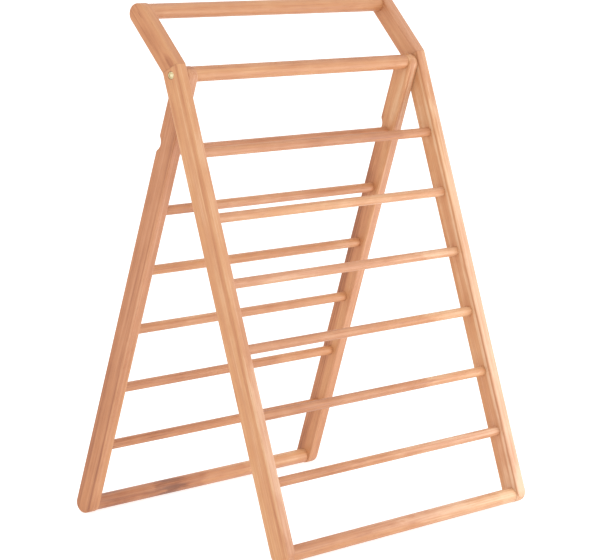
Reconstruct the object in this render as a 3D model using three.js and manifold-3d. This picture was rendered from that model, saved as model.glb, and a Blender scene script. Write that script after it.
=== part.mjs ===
// A folding A-frame drying rack in turned and planed hardwood.
// The front frame is a ladder whose stiles bend back above the pivot and end in a top rail.
// The rear frame is a narrower ladder that hangs between the front stiles on two brass bolts.
// X runs along the rungs, Y towards the back, Z up; millimetres and degrees.
import * as THREE from "three";
import { mergeVertices } from "three/addons/utils/BufferGeometryUtils.js";
import Module from "manifold-3d";

const wasm = await Module();
wasm.setup();

// Overall
const overallWidth = 720; // outer faces of the front stiles
const frontLegLength = 878; // pivot axis to the lower end, along the front stile
const frontLean = 18.95; // front stile from vertical, its foot forward
const rearLean = 15; // rear stile from vertical, its foot backward

// Stiles
const stileThickness = 26; // along X
const stileDepth = 38; // across the frame; the ends are full rounds of this width
const edgeRadius = 3.5; // long edges

// Upper arms
const bendAngle = 22.9; // how much further the arm leans back than its stile
const bendAbovePivot = 12.5; // along the front stile
const armLength = 141; // bend to the upper end
const dowelDiameter = 6;
const dowelLength = 22;
const dowelOffset = 10; // each side of the stile's centre line, along the mitre

// Rungs and rails
const rungCount = 6; // in each frame
const rungDiameter = 18;
const frontFirstRung = 142.3; // pivot axis to the first rung
const frontLastGap = 126.2; // last rung to the bottom rail
const rearFirstRung = 143.8;
const rearLastGap = 118.3;
const socketDepth = 15; // blind hole for a rung or a tenon, from the stile's inner face
const railDiameter = 28;
const railSetIn = 3; // how far a rail's shoulder is let into the stile
const tenonDiameter = 16;
const railEndMargin = 0.5; // stile's end beyond the rail's surface

// Pivot
const boltDiameter = 6;
const boltHeadDiameter = 13;
const boltHeadHeight = 4.2;
const counterboreDiameter = 14;
const counterboreDepth = 5;
const insertDiameter = 10;
const insertLength = 20;
const boltEngagement = 18; // shank inside the threaded insert
const washerDiameter = 18;
const washerThickness = 0.8;

// Seat in the rear stile's back edge for the front top rail
const seatRadius = 18;
const seatDepth = 6;

// Clearances
const fit = 0.3; // between pieces that touch, on each side
const socketRelief = 0.5; // past the end of a rung, tenon, dowel or insert

// Facets
const turnSegments = 16;
const arcSegments = 10;
const edgeSegments = 2;

const deg = THREE.MathUtils.degToRad;
const stileCentreX = (overallWidth - stileThickness) / 2;
const innerFaceX = overallWidth / 2 - stileThickness;
const frameGap = washerThickness + 2 * fit;
const rearCentreX = stileCentreX - stileThickness - frameGap;
const rearInnerFaceX = innerFaceX - stileThickness - frameGap;
const endRadius = stileDepth / 2;
const railRadius = railDiameter / 2;
const railFromEnd = railRadius + railEndMargin;
const pivotHeight = (frontLegLength - endRadius) * Math.cos(deg(frontLean)) + endRadius;
const rearLegLength = (pivotHeight - endRadius) / Math.cos(deg(rearLean)) + endRadius;
const topRailOnArm = armLength - railFromEnd;
const frontRailDrop = frontLegLength - railFromEnd; // pivot axis to the bottom rail's axis
const rearRailDrop = rearLegLength - railFromEnd;
const frontRungs = rungHeights(frontFirstRung, frontRailDrop - frontLastGap);
const rearRungs = rungHeights(rearFirstRung, rearRailDrop - rearLastGap);
const pivotBoreDepth = insertLength + socketRelief;
const sides = { left: -1, right: 1 };

const wood = { color: 0xcf8558, roughness: 0.55, metalness: 0 };
const wood2 = { color: 0xd99463, roughness: 0.55, metalness: 0 };
const brass = { color: 0xb8964f, roughness: 0.3, metalness: 1 };

// A closed geometry as a solid that can be cut.
function solid(geometry) {
  const bare = geometry.clone().deleteAttribute("normal").deleteAttribute("uv");
  const merged = mergeVertices(bare, 1e-4);
  return new wasm.Manifold(
    new wasm.Mesh({
      numProp: 3,
      vertProperties: new Float32Array(merged.attributes.position.array),
      triVerts: new Uint32Array(merged.index.array),
    }),
  );
}

// The cut solid as a flat-shaded geometry.
function geometryOf(cut) {
  const mesh = cut.getMesh();
  const geometry = new THREE.BufferGeometry();
  geometry.setAttribute("position", new THREE.BufferAttribute(mesh.vertProperties, 3));
  geometry.setIndex(new THREE.BufferAttribute(mesh.triVerts, 1));
  const flat = geometry.toNonIndexed();
  flat.computeVertexNormals();
  return flat;
}

// A round piece along X; the profile lists [x, radius] from left to right.
function turned(profile) {
  const points = profile.map(([x, radius]) => new THREE.Vector2(radius, x));
  return new THREE.LatheGeometry(points, turnSegments).rotateZ(-Math.PI / 2);
}

function rod(length, diameter) {
  const half = length / 2;
  const radius = diameter / 2;
  return turned([
    [-half, 0],
    [-half, radius],
    [half, radius],
    [half, 0],
  ]);
}

// A plank with rounded edges: the outline is in the Y-Z plane and the thickness along X.
function plank(outline) {
  const geometry = new THREE.ExtrudeGeometry(outline, {
    depth: stileThickness - 2 * edgeRadius,
    curveSegments: arcSegments,
    bevelThickness: edgeRadius,
    bevelSize: edgeRadius,
    bevelOffset: -edgeRadius,
    bevelSegments: edgeSegments,
  });
  geometry.translate(0, 0, edgeRadius - stileThickness / 2);
  const axes = [new THREE.Vector3(0, 1, 0), new THREE.Vector3(0, 0, 1), new THREE.Vector3(1, 0, 0)];
  return geometry.applyMatrix4(new THREE.Matrix4().makeBasis(...axes));
}

// Stile below the bend, running past it to be mitred.
function frontStileOutline() {
  const outline = new THREE.Shape();
  const top = bendAbovePivot + stileDepth;
  outline.moveTo(endRadius, top);
  outline.lineTo(-endRadius, top);
  outline.absarc(0, endRadius - frontLegLength, endRadius, Math.PI, 2 * Math.PI, false);
  return outline;
}

// Arm above the bend, in its own frame with the bend at zero.
function armOutline() {
  const outline = new THREE.Shape();
  outline.moveTo(-endRadius, -stileDepth);
  outline.lineTo(endRadius, -stileDepth);
  outline.absarc(0, armLength - endRadius, endRadius, 0, Math.PI, false);
  return outline;
}

// Where the top rail lies from the pivot, in the front stile's frame.
function topRailCentre() {
  const bend = deg(bendAngle);
  const y = topRailOnArm * Math.sin(bend);
  const z = bendAbovePivot + topRailOnArm * Math.cos(bend);
  return new THREE.Vector2(y, z);
}

// Where the top rail lies in the rear stile's frame once it is seated.
function seatedRail() {
  const y = endRadius - seatDepth + railRadius + fit;
  const z = -Math.sqrt(topRailCentre().lengthSq() - y * y);
  return new THREE.Vector2(y, z);
}

function rearStileOutline() {
  const seatY = endRadius - seatDepth + seatRadius;
  const seatZ = seatedRail().y;
  const open = Math.acos((seatY - endRadius) / seatRadius);
  const outline = new THREE.Shape();
  outline.absarc(0, railFromEnd - endRadius, endRadius, 0, Math.PI, false);
  outline.absarc(0, endRadius - rearLegLength, endRadius, Math.PI, 2 * Math.PI, false);
  outline.absarc(seatY, seatZ, seatRadius, Math.PI + open, Math.PI - open, true);
  return outline;
}

// A hole along X that opens on the inner face of a stile on this side.
function socket(side, diameter, depth, z) {
  const past = stileThickness;
  const hole = rod(depth + past, diameter + 2 * fit);
  const inner = -side * (stileThickness / 2);
  return solid(hole.translate(inner + (side * (depth - past)) / 2, 0, z));
}

// A hole along X that opens on the outer face.
function outerHole(side, diameter, depth) {
  return socket(-side, diameter - 2 * fit, depth, 0);
}

// Evenly spaced rung heights in a stile's frame.
function rungHeights(first, last) {
  const pitch = (last - first) / (rungCount - 1);
  return Array.from({ length: rungCount }, (_, i) => -(first + i * pitch));
}

function cutRungs(blank, side, heights) {
  const depth = socketDepth + socketRelief;
  const holes = heights.map((z) => socket(side, rungDiameter, depth, z));
  return holes.reduce((body, hole) => body.subtract(hole), blank);
}

function cutRail(blank, side, z) {
  const tenon = socket(side, tenonDiameter, socketDepth + socketRelief, z);
  const shoulder = socket(side, railDiameter, railSetIn + fit, z);
  return blank.subtract(tenon).subtract(shoulder);
}

// The block that removes one side of the mitre, in a frame whose Z crosses the joint.
function mitreBlock(sign) {
  const size = 4 * stileDepth;
  const block = new THREE.BoxGeometry(size, size, size);
  return block.translate(0, 0, sign * (size / 2 - fit / 2));
}

function dowelHoles() {
  const length = dowelLength + 2 * socketRelief;
  return [-dowelOffset, dowelOffset].map((y) =>
    rod(length, dowelDiameter + 2 * fit)
      .rotateY(Math.PI / 2)
      .translate(0, y, 0),
  );
}

// Mitres a blank: tilt turns the joint's frame into the blank's, and bend is the joint's height.
function mitre(blank, sign, tilt, bend) {
  const place = (geometry) => solid(geometry.rotateX(tilt).translate(0, 0, bend));
  const cut = blank.subtract(place(mitreBlock(sign)));
  return dowelHoles().reduce((body, hole) => body.subtract(place(hole)), cut);
}

function frontStile(side) {
  const blank = solid(plank(frontStileOutline()));
  const mitred = mitre(blank, 1, -deg(bendAngle) / 2, bendAbovePivot);
  const laddered = cutRungs(mitred, side, frontRungs);
  const railed = cutRail(laddered, side, -frontRailDrop);
  const bored = railed.subtract(socket(side, boltDiameter, 2 * stileThickness, 0));
  return geometryOf(bored.subtract(outerHole(side, counterboreDiameter, counterboreDepth)));
}

function frontArm(side) {
  const blank = solid(plank(armOutline()));
  const mitred = mitre(blank, -1, deg(bendAngle) / 2, 0);
  return geometryOf(cutRail(mitred, side, topRailOnArm));
}

function rearStile(side) {
  const blank = solid(plank(rearStileOutline()));
  const laddered = cutRungs(blank, side, rearRungs);
  const railed = cutRail(laddered, side, -rearRailDrop);
  const hung = cutRail(railed, side, 0);
  return geometryOf(hung.subtract(socket(side, boltDiameter, 2 * stileThickness, 0)));
}

// A rail between two inner faces, with a tenon at each end.
function rail(faceX) {
  const shoulder = faceX + railSetIn;
  const end = faceX + socketDepth;
  const tenon = tenonDiameter / 2;
  return turned([
    [-end, 0],
    [-end, tenon],
    [-shoulder, tenon],
    [-shoulder, railRadius],
    [shoulder, railRadius],
    [shoulder, tenon],
    [end, tenon],
    [end, 0],
  ]);
}

// The rear frame's top rail, bored from each end for a threaded insert.
function pivotRail() {
  const shoulder = rearInnerFaceX + railSetIn;
  const end = rearInnerFaceX + socketDepth;
  const floor = end - pivotBoreDepth;
  const tenon = tenonDiameter / 2;
  const bore = insertDiameter / 2 + fit;
  return turned([
    [-floor, 0],
    [-floor, bore],
    [-end, bore],
    [-end, tenon],
    [-shoulder, tenon],
    [-shoulder, railRadius],
    [shoulder, railRadius],
    [shoulder, tenon],
    [end, tenon],
    [end, bore],
    [floor, bore],
    [floor, 0],
  ]);
}

// Bolt for the right side: a domed head outside, the shank pointing inwards.
function pivotBolt() {
  const seat = overallWidth / 2 - counterboreDepth + fit;
  const tip = rearInnerFaceX + socketDepth - boltEngagement;
  const head = boltHeadDiameter / 2;
  const rim = boltHeadHeight / 3;
  const dome = [0.35, 0.7, 1].map((step) => {
    const angle = (step * Math.PI) / 2;
    const x = seat + rim + (boltHeadHeight - rim) * Math.sin(angle);
    return [x, step === 1 ? 0 : head * Math.cos(angle)];
  });
  return turned([
    [tip, 0],
    [tip, boltDiameter / 2],
    [seat, boltDiameter / 2],
    [seat, head],
    [seat + rim, head],
    ...dome,
  ]);
}

// A ring on the pivot axis, closed on itself.
function ring(from, to, bore, outer) {
  return turned([
    [from, bore],
    [from, outer],
    [to, outer],
    [to, bore],
    [from, bore],
  ]);
}

function pivotWasher() {
  const from = innerFaceX - fit - washerThickness;
  return ring(from, from + washerThickness, boltDiameter / 2 + fit, washerDiameter / 2);
}

function threadedInsert() {
  const to = rearInnerFaceX + socketDepth;
  return ring(to - insertLength, to, boltDiameter / 2 + fit, insertDiameter / 2);
}

function add(parent, name, geometry, finish, x = 0, y = 0, z = 0) {
  const mesh = new THREE.Mesh(geometry, new THREE.MeshStandardMaterial(finish));
  mesh.name = name;
  mesh.position.set(x, y, z);
  parent.add(mesh);
  return mesh;
}

function group(parent, tilt, z) {
  const made = new THREE.Group();
  made.rotation.x = deg(tilt);
  made.position.z = z;
  parent.add(made);
  return made;
}

function addRungs(frame, prefix, faceX, heights) {
  const length = 2 * (faceX + socketDepth);
  heights.forEach((z, i) => {
    add(frame, `${prefix}_rung_${i + 1}`, rod(length, rungDiameter), wood2, 0, 0, z);
  });
}

function addDowels(joint, sideName, x) {
  const places = { front: -dowelOffset, rear: dowelOffset };
  for (const [place, y] of Object.entries(places)) {
    const dowel = rod(dowelLength, dowelDiameter).rotateY(Math.PI / 2);
    add(joint, `mitre_dowel_${sideName}_${place}`, dowel, wood2, x, y, 0);
  }
}

function buildFrontFrame(rack) {
  const frame = group(rack, -frontLean, pivotHeight);
  const joint = group(frame, -bendAngle / 2, bendAbovePivot);
  const upper = group(frame, -bendAngle, bendAbovePivot);
  for (const [name, side] of Object.entries(sides)) {
    add(frame, `front_stile_${name}`, frontStile(side), wood, side * stileCentreX);
    add(upper, `front_arm_${name}`, frontArm(side), wood, side * stileCentreX);
    addDowels(joint, name, side * stileCentreX);
  }
  add(upper, "front_top_rail", rail(innerFaceX), wood2, 0, 0, topRailOnArm);
  add(frame, "front_bottom_rail", rail(innerFaceX), wood2, 0, 0, -frontRailDrop);
  addRungs(frame, "front", innerFaceX, frontRungs);
}

function buildRearFrame(rack) {
  const frame = group(rack, rearLean, pivotHeight);
  for (const [name, side] of Object.entries(sides)) {
    const turn = side < 0 ? Math.PI : 0;
    add(frame, `rear_stile_${name}`, rearStile(side), wood, side * rearCentreX);
    add(frame, `pivot_bolt_${name}`, pivotBolt(), brass).rotation.z = turn;
    add(frame, `pivot_washer_${name}`, pivotWasher(), brass).rotation.z = turn;
    add(frame, `pivot_insert_${name}`, threadedInsert(), brass).rotation.z = turn;
  }
  add(frame, "rear_pivot_rail", pivotRail(), wood2);
  add(frame, "rear_bottom_rail", rail(rearInnerFaceX), wood2, 0, 0, -rearRailDrop);
  addRungs(frame, "rear", rearInnerFaceX, rearRungs);
}

// Stands the rack on Z = 0 with the middle of its box on the Z axis.
function buildRack() {
  const root = new THREE.Group();
  const rack = new THREE.Group();
  root.add(rack);
  buildFrontFrame(rack);
  buildRearFrame(rack);
  root.updateMatrixWorld(true);
  const box = new THREE.Box3().setFromObject(root, true);
  const centre = box.getCenter(new THREE.Vector3());
  rack.position.set(-centre.x, -centre.y, -box.min.z);
  return root;
}

export default buildRack();
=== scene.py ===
"""A folding wooden clothes drying rack: two ladder frames of rungs on a brass-bolted hinge."""

import logging
import math
from dataclasses import dataclass, field
from enum import Enum
from typing import Any, Iterable

import bmesh
import bpy
import numpy as np
from mathutils import Matrix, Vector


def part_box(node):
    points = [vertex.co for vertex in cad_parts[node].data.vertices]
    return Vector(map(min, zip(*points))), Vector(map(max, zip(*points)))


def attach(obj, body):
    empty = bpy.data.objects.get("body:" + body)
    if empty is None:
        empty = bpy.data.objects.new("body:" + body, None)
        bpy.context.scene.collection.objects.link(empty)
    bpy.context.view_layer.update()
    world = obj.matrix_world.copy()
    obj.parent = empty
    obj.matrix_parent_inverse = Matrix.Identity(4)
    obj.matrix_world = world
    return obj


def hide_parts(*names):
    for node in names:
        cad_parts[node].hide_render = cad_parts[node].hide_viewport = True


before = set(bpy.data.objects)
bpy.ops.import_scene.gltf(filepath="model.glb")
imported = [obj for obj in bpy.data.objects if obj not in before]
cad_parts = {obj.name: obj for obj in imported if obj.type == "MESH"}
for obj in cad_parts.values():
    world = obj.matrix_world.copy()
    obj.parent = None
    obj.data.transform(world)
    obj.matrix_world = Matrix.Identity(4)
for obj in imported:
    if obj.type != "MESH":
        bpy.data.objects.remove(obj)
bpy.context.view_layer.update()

logging.basicConfig(level=logging.INFO, format="%(message)s")
log = logging.getLogger("drying_rack")

MM = 0.001
OVERSHOOT = 10 * MM  # how far a drill runs past the wood
Array = np.ndarray
Triple = tuple[float, float, float]
Pair = tuple[float, float]


class Side(Enum):
    """The side of the rack that a piece is on, and its sign along X."""

    LEFT = -1
    RIGHT = 1

    @property
    def label(self) -> str:
        """The side's name as the nodes use it."""
        return self.name.lower()


class Slot(Enum):
    """The record's material slots."""

    STILE = "stile_wood"
    RAIL = "rail_wood"
    RUNG = "rung_wood"
    DOWEL = "dowel_wood"
    BRASS = "brass"


class Body(Enum):
    """The bodies that the hinge joins."""

    FRONT = "front_frame"
    REAR = "rear_frame"


def centre_of(node: str) -> Array:
    """Finds the middle of a node's box.

    Args:
        node: The node's name.

    Returns:
        The middle, in metres.
    """
    low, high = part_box(node)
    return (np.array(low) + np.array(high)) / 2


def pivot_point() -> Array:
    """The hinge's axis, halfway along it."""
    return centre_of("rear_pivot_rail")


def linear(colour: str) -> tuple[float, float, float, float]:
    """Turns a screen colour into scene light.

    Args:
        colour: Six hexadecimal digits, red first.

    Returns:
        Linear red, green, blue and an alpha of one.
    """
    screen = np.array([int(colour[i : i + 2], 16) for i in (0, 2, 4)]) / 255
    light = np.where(screen <= 0.04045, screen / 12.92, ((screen + 0.055) / 1.055) ** 2.4)
    return (*light.tolist(), 1.0)


# --- Shader maths -----------------------------------------------------------------------------


@dataclass(frozen=True)
class Wire:
    """An output socket. Arithmetic on it adds Math nodes to its material."""

    paint: "Paint"
    out: bpy.types.NodeSocket

    def _with(self, operation: str, first: "Level", second: "Level") -> "Wire":
        """Joins two values with a Math node."""
        return self.paint.node("ShaderNodeMath", {"operation": operation}, {0: first, 1: second})

    def __add__(self, other: "Level") -> "Wire":
        """Self plus other."""
        return self._with("ADD", self, other)

    def __radd__(self, other: "Level") -> "Wire":
        """Other plus self."""
        return self._with("ADD", other, self)

    def __sub__(self, other: "Level") -> "Wire":
        """Self minus other."""
        return self._with("SUBTRACT", self, other)

    def __rsub__(self, other: "Level") -> "Wire":
        """Other minus self."""
        return self._with("SUBTRACT", other, self)

    def __mul__(self, other: "Level") -> "Wire":
        """Self times other."""
        return self._with("MULTIPLY", self, other)

    def __truediv__(self, other: "Level") -> "Wire":
        """Self over other."""
        return self._with("DIVIDE", self, other)

    def __abs__(self) -> "Wire":
        """The size of self without its sign."""
        return self._with("ABSOLUTE", self, 0.0)

    def fraction(self) -> "Wire":
        """What is left of self above its whole part."""
        return self._with("FRACT", self, 0.0)


Level = Wire | float


class Paint:
    """One material's nodes."""

    def __init__(self, name: str) -> None:
        """Starts an empty material.

        Args:
            name: The material's name.
        """
        self.material = bpy.data.materials.new(name)
        self.material.use_nodes = True
        self.tree = self.material.node_tree
        self.tree.nodes.clear()

    def node(
        self,
        kind: str,
        settings: dict[str, Any] | None = None,
        inputs: dict[int | str, Any] | None = None,
        output: int = 0,
    ) -> Wire:
        """Adds one node.

        Args:
            kind: The node's type.
            settings: Its properties, set first. "stops" holds a ramp's (place, colour) pairs.
            inputs: The value or wire of each input socket, by its place or name.
            output: Which output to return.

        Returns:
            The chosen output socket.
        """
        made = self.tree.nodes.new(kind)
        for key, value in (settings or {}).items():
            if key == "stops":
                self._set_stops(made.color_ramp, value)
            else:
                setattr(made, key, value)
        for key, value in (inputs or {}).items():
            if isinstance(value, Wire):
                self.tree.links.new(value.out, made.inputs[key])
            else:
                made.inputs[key].default_value = value
        return Wire(self, made.outputs[output])

    @staticmethod
    def _set_stops(ramp: bpy.types.ColorRamp, stops: Iterable[tuple[float, Any]]) -> None:
        """Gives a ramp its stops, in order.

        Args:
            ramp: The node's own ramp.
            stops: Pairs of a place and a colour.
        """
        ordered = list(stops)
        while len(ramp.elements) < len(ordered):
            ramp.elements.new(1.0)
        for element, (place, colour) in zip(ramp.elements, ordered):
            element.position = place
            element.color = colour

    def local(self, origin: Array, turn: Triple) -> Wire:
        """Object coordinates in a piece's own frame.

        Args:
            origin: The middle of the piece, in metres.
            turn: The piece's turn as XYZ angles, in radians.

        Returns:
            The position in that frame, in metres.
        """
        place = self.node("ShaderNodeTexCoord", output=3)
        inputs = {0: place, 1: tuple(origin), 2: turn}
        return self.node("ShaderNodeMapping", {"vector_type": "TEXTURE"}, inputs)

    def vector(self, operation: str, first: Any, second: Any = (0, 0, 0), output: int = 0) -> Wire:
        """Adds a Vector Math node."""
        settings = {"operation": operation}
        return self.node("ShaderNodeVectorMath", settings, {0: first, 1: second}, output)

    def split(self, place: Wire) -> tuple[Wire, Wire, Wire]:
        """The three parts of a vector."""
        parts = self.node("ShaderNodeSeparateXYZ", None, {0: place}).out.node
        return tuple(Wire(self, socket) for socket in parts.outputs)

    def noise(self, place: Wire, scale: Triple, detail: float = 2, rough: float = 0.5) -> Wire:
        """Cloudy noise between 0 and 1.

        Args:
            place: Where to look it up, in metres.
            scale: Cells in each metre, along each axis.
            detail: How many finer layers are added.
            rough: How strong the finer layers are.

        Returns:
            The noise.
        """
        scaled = self.vector("MULTIPLY", place, scale)
        inputs = {"Vector": scaled, "Scale": 1.0, "Detail": detail, "Roughness": rough}
        return self.node("ShaderNodeTexNoise", {"noise_dimensions": "3D"}, inputs)

    def ramp(self, value: Wire, stops: Iterable[tuple[float, Any]], ease: bool = False) -> Wire:
        """Colours, or greys, looked up by a value.

        Args:
            value: The value.
            stops: Pairs of a place and a colour.
            ease: Whether the stops blend softly.

        Returns:
            The colour.
        """
        node = self.node("ShaderNodeValToRGB", {"stops": stops}, {0: value})
        node.out.node.color_ramp.interpolation = "EASE" if ease else "LINEAR"
        return node

    def rise(self, value: Level, start: float, end: float) -> Wire:
        """A smooth step from 0 at start to 1 at end.

        Args:
            value: What to measure.
            start: Where the step leaves 0.
            end: Where it reaches 1.

        Returns:
            The step.
        """
        settings = {"interpolation_type": "SMOOTHSTEP", "clamp": True}
        inputs = {0: value, 1: start, 2: end, 3: 0.0, 4: 1.0}
        return self.node("ShaderNodeMapRange", settings, inputs)

    def blend(self, amount: Level, first: Any, second: Any) -> Wire:
        """Mixes two colours.

        Args:
            amount: How much of the second, from 0 to 1.
            first: The colour at 0.
            second: The colour at 1.

        Returns:
            The mixed colour.
        """
        settings = {"data_type": "RGBA", "clamp_factor": True}
        return self.node("ShaderNodeMix", settings, {0: amount, 6: first, 7: second}, output=2)

    def surface(self, height: Wire, depth: float, inputs: dict[str, Any]) -> bpy.types.Material:
        """Ends the material in one shader with a bumped surface.

        Args:
            height: The bump's height, from 0 to 1.
            depth: The height of 1, in metres.
            inputs: The shader's other values and wires.

        Returns:
            The finished material.
        """
        relief = {"Strength": 1.0, "Distance": depth, "Height": height}
        bump = self.node("ShaderNodeBump", None, relief)
        shader = self.node("ShaderNodeBsdfPrincipled", None, {**inputs, "Normal": bump})
        end = self.tree.nodes.new("ShaderNodeOutputMaterial")
        self.tree.links.new(shader.out, end.inputs[0])
        return self.material


# --- Finishes ---------------------------------------------------------------------------------


@dataclass(frozen=True)
class FigureAndLight:
    """A darker or paler patch, in the piece's own frame, in metres: wood figure in some places,
    painted sheen and shade in others.
    """

    middle: Triple
    reach: Triple
    depth: float
    crisp: float


def patch(middle: Triple, reach: Triple, depth: float, crisp: float = 0.4) -> FigureAndLight:
    """A patch (wood figure in some places, painted sheen and shade in others) whose middle and
    reach are given in millimetres.
    """
    return FigureAndLight(tuple(v * MM for v in middle), tuple(v * MM for v in reach), depth, crisp)


@dataclass(frozen=True)
class Board:
    """The wood of one piece: where the log's heart lies from it, its tone, and its patches of
    figure and of painted sheen and shade.
    """

    seed: float
    heart: Pair = (0.09, 0.05)
    runout: float = 0.02
    tone: float = 0.0
    figures_and_light: tuple[FigureAndLight, ...] = ()


@dataclass(frozen=True)
class Cut:
    """How a board became a piece: the piece's frame, its half width and depth, and its mitre."""

    board: Board
    origin: Array
    turn: Triple
    half: Pair | None = None
    seam: Triple | None = None


@dataclass(frozen=True)
class Grain:
    """One layer of streaks: cells in each metre, finer layers, and its share of the tone."""

    scale: Triple
    detail: float
    rough: float
    share: float


STREAKS = Grain((120, 120, 2.6), 3, 0.55, 0.34)
BANDS = Grain((42, 42, 1.4), 2, 0.5, 0.42)
CLOUDS = Grain((34, 34, 13), 3, 0.55, 0.42)
LINES = Grain((360, 360, 4.5), 3, 0.6, 0.6)
FIBRES = Grain((900, 900, 11), 2, 0.6, 0.36)


@dataclass(frozen=True)
class Teak:
    """Oiled teak: straight streaks, soft growth rings, short pores, paler edges of wear and painted
    highlight.
    """

    orange: tuple[str, ...] = ("DBB28A", "C88F60", "BD7F53", "A6663D", "814B2E")
    rosy: tuple[str, ...] = ("DAB190", "C38964", "B4774F", "9C603F", "75432C")
    stops: tuple[float, ...] = (0.0, 0.3, 0.55, 0.8, 1.0)
    pore: str = "845030"
    # The paler colour of the long edges: wear and a painted highlight.
    rubbed_and_highlight: str = "E6BE98"
    joint: str = "8A5636"
    tone: float = 0.36
    grains: tuple[Grain, ...] = (STREAKS, BANDS, CLOUDS, LINES, FIBRES)
    ring: float = 7.5 * MM
    wander: float = 2.4
    late_wood: float = 0.08
    ragged: float = 1.1
    edge: float = 3 * MM
    roughness: float = 0.52
    specular: float = 0.6
    relief: float = 0.16 * MM

    def _rings(self, paint: Paint, board: Board, place: Wire, parts: tuple[Wire, ...]) -> Wire:
        """Draws the dark late wood of each growth ring.

        The ring count is the distance from the log's heart over the ring width, with a slow
        wander. In each ring the dark rises to its far end and drops at once.

        Args:
            paint: The material.
            board: The wood of the piece.
            place: The seeded position.
            parts: The position's own parts.

        Returns:
            The late wood, from 0 to 1.
        """
        x, y, z = parts
        wander = paint.noise(place, (16, 16, 2.2), 2)
        aside = x + board.heart[0] + z * board.runout
        across = paint.node("ShaderNodeCombineXYZ", None, {0: aside, 1: y + board.heart[1], 2: 0.0})
        radius = paint.vector("LENGTH", across, output=1)
        count = (radius / self.ring + wander * self.wander).fraction()
        greys = ((0.0, 0.2), (0.5, 0.3), (0.86, 1.0), (1.0, 0.2))
        return paint.ramp(count, [(p, (g, g, g, 1)) for p, g in greys], ease=True)

    def _figure_and_painted_light(self, paint: Paint, board: Board, place: Wire, local: Wire) -> Level:
        """Sums the piece's own patches: wood figure, and painted sheen and shade.

        A patch fades from its middle to where the offset over its reach is one.

        Args:
            paint: The material.
            board: The wood of the piece.
            place: The seeded position.
            local: The position in the piece's frame.

        Returns:
            What the patches add to the tone.
        """
        if not board.figures_and_light:
            return 0.0
        ragged = (paint.noise(place, (90, 90, 16), 3) - 0.5) * self.ragged
        total: Level = 0.0
        # Some patches are painted sheen and painted shade rather than figure.
        for patch_mark in board.figures_and_light:
            offset = paint.vector("SUBTRACT", local, patch_mark.middle)
            share = paint.vector("DIVIDE", offset, patch_mark.reach)
            size = paint.vector("LENGTH", share, output=1) + ragged
            total = (1 - paint.rise(size, patch_mark.crisp, 1.0)) * patch_mark.depth + total
        return total

    def _tone(self, paint: Paint, board: Board, place: Wire, local: Wire) -> Wire:
        """Sums the grain, the rings and the patches, painted sheen and shade among them.

        Args:
            paint: The material.
            board: The wood of the piece.
            place: The seeded position.
            local: The position in the piece's frame.

        Returns:
            The tone, from 0 for pale to 1 for dark.
        """
        tone: Level = self.tone + board.tone
        for grain in self.grains:
            layer = paint.noise(place, grain.scale, grain.detail, grain.rough)
            tone = (layer - 0.5) * grain.share + tone
        late = self._rings(paint, board, place, paint.split(local))
        return tone + late * self.late_wood + self._figure_and_painted_light(paint, board, place, local)

    def _edge_wear_and_highlight(self, paint: Paint, cut: Cut, place: Wire, parts: tuple[Wire, ...]) -> Wire:
        """Finds the long edges and paints them paler: partly wear where hands rub the wood, partly
        a painted highlight along the rounded arrises.

        The mark is how far past the flats a point is in width times how far it is in depth,
        with a patchy strength. A round bar wears in patches alone.

        Args:
            paint: The material.
            cut: How the piece was cut.
            place: The seeded position.
            parts: The position's own parts.

        Returns:
            The wear and painted highlight, from 0 to 1.
        """
        patchy = paint.rise(paint.noise(place, (60, 60, 24), 3), 0.35, 0.65)
        if cut.half is None:
            return patchy * 0.3
        wide, deep = (
            paint.rise(abs(part), half - self.edge, half) for part, half in zip(parts, cut.half)
        )
        return wide * deep * (0.4 + patchy * 0.6)

    def _jointed(self, paint: Paint, seam: Triple, parts: tuple[Wire, ...], colour: Wire) -> Wire:
        """Darkens the mitre: a thin line where across y + along z is near the level.

        Args:
            paint: The material.
            seam: The line's across, along and level.
            parts: The position's own parts.
            colour: The colour so far.

        Returns:
            The colour with the line.
        """
        across, along, level = seam
        gap = abs(parts[1] * across + parts[2] * along - level)
        line = 1 - paint.rise(gap, 0.15 * MM, 0.6 * MM)
        return paint.blend(line * 0.4, colour, linear(self.joint))

    def dress(self, name: str, cut: Cut) -> bpy.types.Material:
        """Makes the material of one piece.

        Args:
            name: The material's name.
            cut: How the piece was cut.

        Returns:
            The material.
        """
        paint = Paint(name)
        local = paint.local(cut.origin, cut.turn)
        shift = tuple(step * cut.board.seed for step in (0.37, 0.61, 1.13))
        place = paint.vector("ADD", local, shift)
        parts = paint.split(local)
        tone = self._tone(paint, cut.board, place, local)
        orange = paint.ramp(tone, zip(self.stops, map(linear, self.orange)))
        rosy = paint.ramp(tone, zip(self.stops, map(linear, self.rosy)))
        hue = paint.rise(paint.noise(place, (26, 26, 1.3), 2), 0.36, 0.64)
        colour = paint.blend(hue, orange, rosy)
        pores = paint.rise(paint.noise(place, (2400, 2400, 60), 1), 0.62, 0.74)
        colour = paint.blend(pores * 0.3, colour, linear(self.pore))
        wear_and_highlight = self._edge_wear_and_highlight(paint, cut, place, parts)
        # Paler long edges: partly wear, partly a painted highlight on the rounded arrises.
        colour = paint.blend(wear_and_highlight * 0.2, colour, linear(self.rubbed_and_highlight))
        if cut.seam is not None:
            colour = self._jointed(paint, cut.seam, parts, colour)
        fine = paint.noise(place, (900, 900, 20), 3, 0.65)
        rough = self.roughness + (fine - 0.5) * 0.22 + pores * 0.12 - wear_and_highlight * 0.08
        height = fine * 0.5 + (1 - pores) * 0.5
        inputs = {"Base Color": colour, "Roughness": rough, "Specular IOR Level": self.specular}
        return paint.surface(height, self.relief, inputs)


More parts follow.
